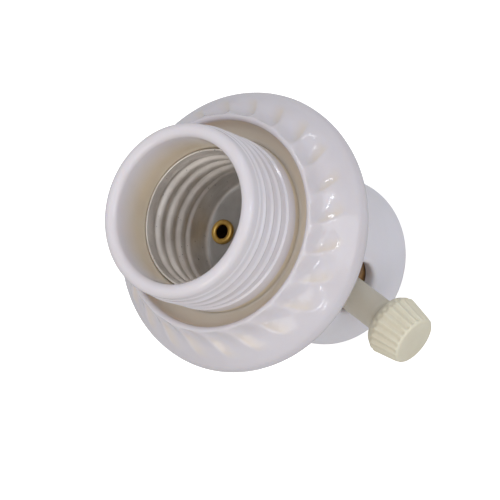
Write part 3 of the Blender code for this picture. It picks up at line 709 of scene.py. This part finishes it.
def build_centre_contact():
    """The bent spring tongue: riveted under the web, up through the centre hole, with a domed tip."""
    foot_z = CONTACT_LOW.z + 0.25
    top_z = CONTACT_HIGH.z - 0.25
    knots = [
        Vector((CONTACT_HIGH.x, foot_z)), Vector((6.0, foot_z)), Vector((3.5, foot_z + 0.1)),
        Vector((2.4, foot_z + 1.6)), Vector((2.1, foot_z + 5.2)), Vector((1.1, top_z - 0.7)),
        Vector((-1.2, top_z)), Vector((-3.1, top_z - 0.8)), Vector((CONTACT_LOW.x + 0.2, top_z - 2.0)),
    ]
    path = smooth_path(knots)
    half = (CONTACT_HIGH.y - CONTACT_LOW.y) / 2
    across = 8
    shape = bmesh.new()
    rows = []
    for index, point in enumerate(path):
        taper = 1.0 - 0.35 * ease(index / len(path), 0.86, 1.0)
        row = []
        for step in range(across + 1):
            side = 2 * step / across - 1
            crown = 0.25 * (1 - side * side) * ease(index / len(path), 0.6, 0.75)
            height = point.y - 0.25 + crown
            row.append(shape.verts.new((point.x * MM, side * half * taper * MM, height * MM)))
        rows.append(row)
    for here, there in zip(rows, rows[1:]):
        for step in range(across):
            shape.faces.new((here[step], here[step + 1], there[step + 1], there[step]))
    bmesh.ops.recalc_face_normals(shape, faces=shape.faces)
    mesh = bpy.data.meshes.new("centre_contact_sheet")
    shape.to_mesh(mesh)
    shape.free()
    sheet = helper("centre_contact_sheet", mesh)
    thick = sheet.modifiers.new("Thickness", "SOLIDIFY")
    thick.thickness = 0.45 * MM
    thick.offset = 0.0
    edges = sheet.modifiers.new("Edges", "BEVEL")
    edges.width = 0.1 * MM
    edges.segments = 2
    edges.limit_method = "ANGLE"
    edges.angle_limit = math.radians(60)
    bpy.context.view_layer.update()
    made = bpy.data.meshes.new_from_object(sheet.evaluated_get(bpy.context.evaluated_depsgraph_get()))
    bpy.data.objects.remove(sheet, do_unlink=True)
    made.name = "centre_tongue"
    piece = new_piece("centre_tongue", made, BRASS, None)
    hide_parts("centre_contact")
    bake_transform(piece)


# ---------------------------------------------------------------- rear half


def slot_cutter():
    """The U-shaped slot, open at the top, with a flared mouth that leaves a rounded edge."""
    path = [(SLOT_HALF_WIDTH, HOUSING_TOP_Z + 1.0, 1.0, 0.0)]
    rows = 12
    for step in range(rows):
        path.append((SLOT_HALF_WIDTH, HOUSING_TOP_Z + (SPINDLE_Z - HOUSING_TOP_Z) * step / rows, 1.0, 0.0))
    turns = 32
    for step in range(turns + 1):
        angle = -math.pi * step / turns
        out = (math.cos(angle), math.sin(angle))
        path.append((SLOT_HALF_WIDTH * out[0], SPINDLE_Z + SLOT_HALF_WIDTH * out[1], *out))
    for step in range(1, rows + 1):
        path.append((-SLOT_HALF_WIDTH, SPINDLE_Z + (HOUSING_TOP_Z - SPINDLE_Z) * step / rows, -1.0, 0.0))
    path.append((-SLOT_HALF_WIDTH, HOUSING_TOP_Z + 1.0, -1.0, 0.0))
    layers = [(1.3 * SLOT_EDGE_R, -2.0), (1.3 * SLOT_EDGE_R, -0.1 * SLOT_EDGE_R)]
    for degrees in (15, 30, 45, 60, 75, 90):
        turn = math.radians(degrees)
        layers.append((SLOT_EDGE_R * (1 - math.sin(turn)), SLOT_EDGE_R * (1 - math.cos(turn))))
    layers.append((0.0, HOUSING_WALL + 3.0))
    shape = bmesh.new()
    loops = []
    for spread, depth in layers:
        loop = []
        for x, z, out_x, out_z in path:
            x += SLOT_MIDDLE_X + out_x * spread
            z += out_z * spread
            y = -math.sqrt((HOUSING_R - depth) ** 2 - x * x)
            loop.append(shape.verts.new((x * MM, y * MM, z * MM)))
        loops.append(loop)
    for here, there in zip(loops, loops[1:]):
        for index in range(len(path)):
            after = (index + 1) % len(path)
            shape.faces.new((here[index], here[after], there[after], there[index]))
    for loop, reach in ((loops[0], -HOUSING_R - 4.0), (loops[-1], -9.0)):
        flat = [shape.verts.new((vertex.co.x, reach * MM, vertex.co.z)) for vertex in loop]
        for index in range(len(path)):
            after = (index + 1) % len(path)
            shape.faces.new((loop[index], loop[after], flat[after], flat[index]))
        shape.faces.new(flat)
    bmesh.ops.recalc_face_normals(shape, faces=shape.faces)
    mesh = bpy.data.meshes.new("slot_cutter")
    shape.to_mesh(mesh)
    shape.free()
    return mesh


def housing_screw_places():
    places = []
    for number in (1, 2):
        low, high = span(f"housing_screw_{number}")
        places.append((low + high) / 2)
    return places


def build_housing():
    inner_r = HOUSING_R - HOUSING_WALL
    hub_hole_r = (HUB_HIGH.x - 1.0) + 0.3
    corners = [
        (inner_r, HOUSING_TOP_Z, 0.3, 1.0), (HOUSING_R, HOUSING_TOP_Z, 0.5, 1.0), (HOUSING_R, 0.0, 1.9, 1.0),
        (hub_hole_r, 0.0, 0.3, 1.0), (hub_hole_r, 2.6, 0.0, 1.0), (inner_r - 1.8, 2.6, 0.3, 1.0),
        (inner_r - 1.8, 8.3, 0.2, 1.0), (inner_r, 8.3, 0.2, 1.0),
    ]
    mesh = lathe_mesh("housing", soften(corners), 160)
    cutters = [slot_cutter()]
    for place in housing_screw_places():
        cutters.append(rod_mesh("recess", SCREW_RECESS_R, (place.x, place.y, -1.0), (place.x, place.y, 1.5)))
        cutters.append(rod_mesh("clearance", SCREW_CLEAR_R, (place.x, place.y, 1.0), (place.x, place.y, 9.0)))
    screw_z = (SET_SCREW_LOW.z + SET_SCREW_HIGH.z) / 2
    cutters.append(rod_mesh("driver_hole", DRIVER_HOLE_R, (0.0, 12.0, screw_z), (0.0, 20.0, screw_z)))
    mesh = cut(mesh, cutters, "housing")
    piece = new_piece("housing", mesh, HOUSING_WHITE, "lampholder_body", 35.0)
    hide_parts("rear_housing")


def slotted(mesh, name, place, head_r, depth=0.6, width=0.7):
    """Cuts a driver slot across a head; place puts the head's top at its origin, facing +Z."""
    return cut(mesh, [block_mesh("driver_slot", (3 * head_r, width, 2 * depth), place)], name)


def build_housing_screws():
    for number, middle in enumerate(housing_screw_places(), start=1):
        low, high = span(f"housing_screw_{number}")
        head_r = (high.x - low.x) / 2
        length = high.z - low.z
        corners = [
            (0.0, 0.0, 0.0, 0.6), (head_r, 0.0, 0.35, 0.3), (head_r, -1.1, 0.1, 0.3), (1.0, -1.1, 0.0, 0.6),
            (1.0, -length, 0.3, 0.6), (0.0, -length, 0.0, 2.0),
        ]
        foot = Matrix.Translation((middle.x * MM, middle.y * MM, low.z * MM))
        place = foot @ Matrix.Rotation(math.pi, 4, "X")
        mesh = lathe_mesh(f"rear_screw_{number}", soften(corners), 32, None, place)
        turned_slot = place @ Matrix.Rotation(math.radians(35 + 50 * number), 4, "Z")
        mesh = slotted(mesh, f"rear_screw_{number}", turned_slot, head_r)
        piece = new_piece(f"rear_screw_{number}", mesh, STEEL, "lampholder_body")
        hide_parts(f"housing_screw_{number}")


def build_hub():
    flange_r = HUB_HIGH.x
    outer_r = flange_r - 1.0
    bore_r = flange_r - 2.7
    screw_z = (SET_SCREW_LOW.z + SET_SCREW_HIGH.z) / 2
    corners = [
        (bore_r, HUB_HIGH.z, 0.25, 0.6), (flange_r, HUB_HIGH.z, 0.4, 0.6), (flange_r, 2.9, 0.2, 0.6),
        (outer_r, 2.9, 0.1, 0.6), (outer_r, HUB_LOW.z, 0.3, 0.6), (bore_r, HUB_LOW.z, 0.35, 0.25),
    ]

    def pipe_thread(radius, height, angle):
        """The fine internal thread of the lamp pipe."""
        if abs(radius - bore_r) > 0.05 or not HUB_LOW.z + 0.6 < height < HUB_HIGH.z - 0.6:
            return radius, height
        turns = height / PIPE_PITCH - angle / (2 * math.pi)
        return radius + PIPE_THREAD_DEPTH * (0.5 + 0.5 * math.cos(2 * math.pi * turns)), height

    mesh = lathe_mesh("hub", soften(corners), 96, pipe_thread)
    mesh = cut(mesh, [rod_mesh("screw_hole", 1.35, (0, 3, screw_z), (0, 9, screw_z), 32)], "hub")
    piece = new_piece("hub", mesh, ZINC, "lampholder_body")
    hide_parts("hub_bushing")
    radius = (SET_SCREW_HIGH.x - SET_SCREW_LOW.x) / 2
    length = SET_SCREW_HIGH.y - SET_SCREW_LOW.y
    corners = [
        (0.0, 0.0, 0.0, 0.5), (radius, 0.0, 0.2, 0.3), (radius, -length, 0.3, 0.5), (0.0, -length, 0.0, 2.0),
    ]
    outer_end = Matrix.Translation((0.0, SET_SCREW_HIGH.y * MM, screw_z * MM))
    place = outer_end @ Matrix.Rotation(-math.pi / 2, 4, "X")
    mesh = lathe_mesh("set_screw", soften(corners), 28, None, place)
    mesh = slotted(mesh, "set_screw", place, radius, 0.6, 0.45)
    piece = new_piece("set_screw", mesh, STEEL, "lampholder_body")
    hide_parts("hub_set_screw")


# ---------------------------------------------------------------- knob


def knob_wave(radius, height, angle):
    """Cuts the grip flutes into the knob's cone; they run out before the face."""
    start = KNOB_FACE - 6.9
    if radius < KNOB_FACE_R - 0.7 or height < start:
        return radius, height
    fade = ease(height, start, start + 0.8) * (1 - ease(height, KNOB_FACE - 0.9, KNOB_FACE - 0.1))
    groove = (0.5 + 0.5 * math.cos(KNOB_FLUTES * angle)) ** 0.8
    return radius - KNOB_FLUTE_DEPTH * fade * groove, height


def build_knob():
    inner_r = 1.85
    corners = [
        (0.0, KNOB_FACE, 0.0, 0.8),
        (KNOB_FACE_R, KNOB_FACE, 0.9, 0.3),
        (KNOB_BASE_R + 0.05, KNOB_FACE - 5.9, 0.9, 0.3),
        (KNOB_BASE_R - 1.0, KNOB_FACE - 7.6, 0.8, 0.5),
        (STEM_R, KNOB_FACE - 7.8, 0.5, 0.8),
        (STEM_R, STEM_START, 0.3, 0.8),
        (inner_r, STEM_START, 0.2, 0.8),
        (inner_r, STEM_START + 7.7, 0.0, 0.8),
        (0.0, STEM_START + 7.7, 0.0, 8.0),
    ]
    place = Matrix.Translation((0.0, 0.0, SPINDLE_Z * MM)) @ Matrix.Rotation(math.pi / 2, 4, "X")
    mesh = lathe_mesh("knob_moulding", soften(corners), KNOB_FLUTES * 12, knob_wave, place)
    piece = new_piece("knob_moulding", mesh, CREAM, "turn_knob", 50.0)
    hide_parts("knob")


# ---------------------------------------------------------------- pieces that stay as packed


def finish_packed_pieces():
    """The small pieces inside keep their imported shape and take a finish."""
    looks = {
        "switch_base": BROWN, "switch_rotor": BLACK, "rotor_bridge": BRASS, "switch_spindle": STEEL,
        "centre_contact_rivet": BRASS, "load_contact": BRASS, "line_contact": BRASS,
        "neutral_terminal": BRASS, "line_terminal_screw": STEEL, "neutral_terminal_screw": STEEL,
        "detent_spring": STEEL,
    }
    for name, look in looks.items():
        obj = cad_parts[name]
        if not obj.material_slots:
            obj.data.materials.append(look)
        for slot in obj.material_slots:
            slot.material = look


# ---------------------------------------------------------------- studio


def build_floor():
    mesh = bpy.data.meshes.new("floor")
    shape = bmesh.new()
    bmesh.ops.create_circle(shape, cap_ends=True, segments=64, radius=6.0)
    shape.to_mesh(mesh)
    shape.free()
    floor = bpy.data.objects.new("floor", mesh)
    bpy.context.scene.collection.objects.link(floor)
    made, nodes, links, shader = new_material("floor_paper")
    clouds = noise_node(nodes, links, 6.0, 3.0)
    paper = ramp_node(nodes, links, clouds, [(0.2, grey(0.78)), (0.8, grey(0.8))])
    links.new(paper, shader.inputs["Base Color"])
    shader.inputs["Roughness"].default_value = 0.9
    shader.inputs["Specular IOR Level"].default_value = 0.0
    shader.inputs["Emission Color"].default_value = (1.0, 0.99, 0.97, 1.0)
    shader.inputs["Emission Strength"].default_value = 0.6
    floor.data.materials.append(made)
    floor.visible_diffuse = False
    floor.visible_glossy = False


def area_light(name, direction, distance, size, power, colour, target):
    """A square soft light at a distance from the target, facing it."""
    data = bpy.data.lights.new(name, "AREA")
    data.shape = "SQUARE"
    data.size = size
    data.energy = power
    data.color = colour
    light = bpy.data.objects.new(name, data)
    bpy.context.scene.collection.objects.link(light)
    way = Vector(direction).normalized()
    light.location = target + way * distance
    light.rotation_euler = way.to_track_quat("Z", "Y").to_euler()


def build_lights():
    target = Vector((0.0, 0.0, 0.03))
    cool = (0.92, 0.95, 1.0)
    warm = (1.0, 0.95, 0.86)
    area_light("key_light", (0.78, 0.12, 0.62), 0.7, 0.07, 0.28, cool, target)
    area_light("side_light", (0.55, -0.60, 0.55), 0.7, 0.06, 0.24, cool, target)
    area_light("low_light", (-0.20, -0.93, 0.30), 0.7, 0.06, 0.14, cool, target)
    area_light("far_light", (0.97, 0.10, 0.22), 0.7, 0.06, 0.10, cool, target)
    area_light("front_light", (0.16, -0.50, 0.85), 0.9, 0.5, 0.3, cool, target)
    area_light("right_fill", (0.50, -0.82, 0.32), 0.8, 0.5, 1.2, cool, target)
    area_light("left_fill", (-0.50, -0.50, 0.60), 0.8, 0.5, 1.35, warm, target)
    world = bpy.data.worlds.new("studio")
    world.use_nodes = True
    nodes = world.node_tree.nodes
    links = world.node_tree.links
    sky = nodes["Background"]
    sky.inputs["Color"].default_value = (0.95, 0.96, 0.99, 1.0)
    parts = nodes.new("ShaderNodeSeparateXYZ")
    links.new(nodes.new("ShaderNodeTexCoord").outputs["Generated"], parts.inputs["Vector"])
    links.new(range_node(nodes, links, parts.outputs["Z"], 0.52, 0.92, 0.0, 0.95), sky.inputs["Strength"])
    bpy.context.scene.world = world
    bpy.context.scene.view_settings.view_transform = "Standard"


# Camera: where it looks, how far off it stands, the direction it looks from, and its roll.
CAMERA_TARGET = Vector((-6.8, 12.0, 11.2))
CAMERA_DISTANCE = 347.2
CAMERA_AZIMUTH = math.radians(17.33)
CAMERA_ELEVATION = math.radians(57.12)
CAMERA_ROLL = math.radians(-72.33)
CAMERA_LENS = 119.4


def build_camera():
    data = bpy.data.cameras.new("camera")
    data.lens = CAMERA_LENS
    data.sensor_width = 36.0
    data.clip_start = 0.01
    data.clip_end = 50.0
    camera = bpy.data.objects.new("camera", data)
    bpy.context.scene.collection.objects.link(camera)
    level = math.cos(CAMERA_ELEVATION)
    back = Vector((
        math.sin(CAMERA_AZIMUTH) * level, -math.cos(CAMERA_AZIMUTH) * level, math.sin(CAMERA_ELEVATION)))
    upright = back.to_track_quat("Z", "Y").to_matrix()
    turn = upright @ Matrix.Rotation(CAMERA_ROLL, 3, "Z")
    camera.matrix_world = (
        Matrix.Translation((CAMERA_TARGET + back * CAMERA_DISTANCE) * MM) @ turn.to_4x4())
    bpy.context.scene.camera = camera


build_camera()
build_floor()
build_lights()
build_barrel()
build_ring()
build_shell()
build_eyelets()
build_centre_contact()
build_housing()
build_housing_screws()
build_hub()
build_knob()
finish_packed_pieces()
